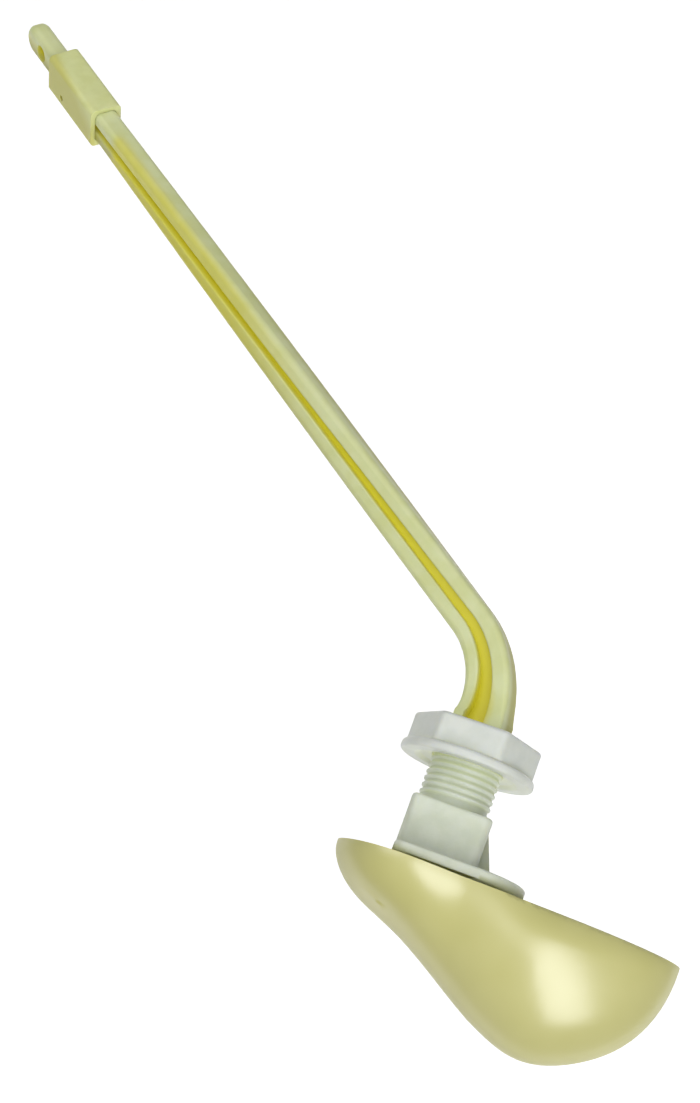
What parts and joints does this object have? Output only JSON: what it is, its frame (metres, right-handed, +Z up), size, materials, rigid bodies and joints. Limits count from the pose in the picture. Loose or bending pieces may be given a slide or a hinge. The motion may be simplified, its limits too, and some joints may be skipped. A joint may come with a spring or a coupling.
{
  "type": "cistern trip lever",
  "caption": "Front-mounted cistern trip lever: spoon handle on a spindle through a square-shank bushing with a flanged nut, working a bent grooved arm with a chain eye.",
  "frame": {"origin": "on the spindle's axis where the bushing's flange meets the outside of the cistern's wall", "axes": "+Y along the spindle into the cistern, +Z up, +X along the wall towards the paddle"},
  "size_m": [0.2292, 0.2169, 0.1069],
  "materials": {
    "handle": "satin pearl champagne",
    "bushing": "natural moulded",
    "nut": "natural moulded",
    "arm": "moulded, pale yellow-green",
    "chain_clip": "moulded, pale cream"
  },
  "bodies": {
    "bushing": {"bushing": "bushing"},
    "lever": {"handle": "handle", "arm": "arm", "chain_clip": "chain_clip"},
    "nut": {"nut": "nut"}
  },
  "joints": [
    {"name": "flush", "type": "hinge", "parent": "bushing", "child": "lever", "pos_m": [0, 0, 0], "axis": [0, 1, 0], "range_deg": [0, 32]},
    {"name": "nut_travel", "type": "slide", "parent": "bushing", "child": "nut", "axis": [0, 1, 0], "range_m": [-0.009, 0.008]}
  ]
}
